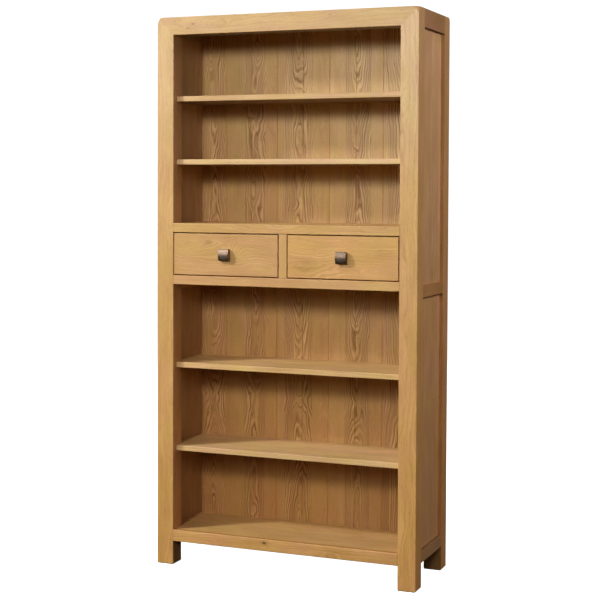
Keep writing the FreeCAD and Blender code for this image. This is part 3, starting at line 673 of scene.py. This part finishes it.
def add_pin(mesh, centre):
    """A shallow domed head that lies on a face turned towards +Y."""
    rings = []
    for share, rise in PIN_DOME:
        rings.append([mesh.verts.new((centre.x + PIN_HEAD_RADIUS * share * math.cos(turn),
                                      centre.y + PIN_HEAD_HEIGHT * rise,
                                      centre.z + PIN_HEAD_RADIUS * share * math.sin(turn)))
                      for turn in (2 * math.pi * i / PIN_SIDES for i in range(PIN_SIDES))])
    for outer, inner in zip(rings, rings[1:]):
        for i in range(PIN_SIDES):
            j = (i + 1) % PIN_SIDES
            mesh.faces.new((outer[i], inner[i], inner[j], outer[j]))
    mesh.faces.new(list(reversed(rings[0])))
    mesh.faces.new(rings[-1])


def make_back_pins():
    """Heads of two pins to each back board, driven through the middle and bottom rails behind it."""
    mesh = bmesh.new()
    for number in BACK_BOARDS:
        low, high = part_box(f"back_board_{number}")
        for rail in ("middle_rail_rear", "bottom_rail_rear"):
            rail_low, rail_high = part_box(rail)
            add_pin(mesh, Vector(((low.x + high.x) / 2, rail_high.y, (rail_low.z + rail_high.z) / 2)))
    bmesh.ops.recalc_face_normals(mesh, faces=mesh.faces)
    data = bpy.data.meshes.new("back_pins")
    mesh.to_mesh(data)
    mesh.free()
    for face in data.polygons:
        face.use_smooth = len(face.vertices) == 4
    pins = put_in_scene("back_pins", data)
    data.materials.append(steel)
    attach(pins, "carcass")


make_back_pins()


# ---------------------------------------------------------------- camera
def make_camera():
    ahead = Vector((-math.sin(CAMERA_YAW) * math.cos(CAMERA_PITCH),
                    math.cos(CAMERA_YAW) * math.cos(CAMERA_PITCH), math.sin(CAMERA_PITCH)))
    right = Vector((math.cos(CAMERA_YAW), math.sin(CAMERA_YAW), 0.0))
    up = right.cross(ahead)
    turned_right = math.cos(CAMERA_ROLL) * right + math.sin(CAMERA_ROLL) * up
    turned_up = math.cos(CAMERA_ROLL) * up - math.sin(CAMERA_ROLL) * right
    data = bpy.data.cameras.new("camera")
    data.sensor_width = SENSOR_WIDTH
    data.lens = FOCAL_PIXELS * SENSOR_WIDTH / IMAGE_SIDE
    data.shift_y = (PRINCIPAL_ROW - IMAGE_SIDE / 2) / IMAGE_SIDE
    data.clip_end = CLIP_END
    camera = put_in_scene("camera", data)
    axes = Matrix((turned_right, turned_up, -ahead)).transposed()
    camera.matrix_world = Matrix.Translation(CAMERA_PLACE) @ axes.to_4x4()
    bpy.context.scene.camera = camera


make_camera()


# ---------------------------------------------------------------- studio
def make_floor():
    """Pale floor that adds no light and no reflection of its own to the bookcase."""
    mesh = bmesh.new()
    bmesh.ops.create_grid(mesh, x_segments=2, y_segments=2, size=FLOOR_HALF)
    data = bpy.data.meshes.new("studio_floor")
    mesh.to_mesh(data)
    mesh.free()
    floor = put_in_scene("studio_floor", data)
    material = bpy.data.materials.new("pale_floor")
    material.use_nodes = True
    shader = material.node_tree.nodes["Principled BSDF"]
    shader.inputs["Base Color"].default_value = (FLOOR_GREY, FLOOR_GREY, FLOOR_GREY, 1.0)
    shader.inputs["Roughness"].default_value = FLOOR_ROUGHNESS
    shader.inputs["Specular IOR Level"].default_value = 0.0
    shader.inputs["Emission Color"].default_value = (*WHITE, 1.0)
    shader.inputs["Emission Strength"].default_value = 1.0
    data.materials.append(material)
    floor.visible_diffuse = False
    floor.visible_glossy = False


def add_light(name, place, diameter, watts, colour, glossy):
    data = bpy.data.lights.new(name, "AREA")
    data.shape = "DISK"
    data.size = diameter
    data.energy = watts
    data.color = colour
    light = put_in_scene(name, data)
    light.location = place
    light.rotation_mode = "QUATERNION"
    light.rotation_quaternion = (Vector(LIGHT_TARGET) - Vector(place)).to_track_quat("-Z", "Y")
    light.visible_camera = False
    light.visible_glossy = glossy


def make_world():
    """White to the camera; a weak band of light above the horizon for everything else."""
    world = bpy.data.worlds.new("studio")
    bpy.context.scene.world = world
    world.use_nodes = True
    g = Graph(world.node_tree)
    sky = world.node_tree.nodes["Background"]
    height = g.separate(g.node("ShaderNodeTexCoord").outputs["Generated"])[2]
    level = g.math("SUBTRACT", 1.0, g.math("MULTIPLY", height, height))
    soft = g.math("MULTIPLY", g.math("POWER", level, SKY_FALL), g.ramp(height, *SKY_BAND))
    seen = g.node("ShaderNodeLightPath").outputs["Is Camera Ray"]
    sky.inputs["Color"].default_value = (*WHITE, 1.0)
    g.feed(sky.inputs["Strength"], g.math("MAXIMUM", g.math("MULTIPLY", seen, SKY_SEEN), soft))


make_floor()
make_world()
for light_values in LIGHTS:
    add_light(*light_values)
bpy.context.scene.view_settings.view_transform = "Standard"
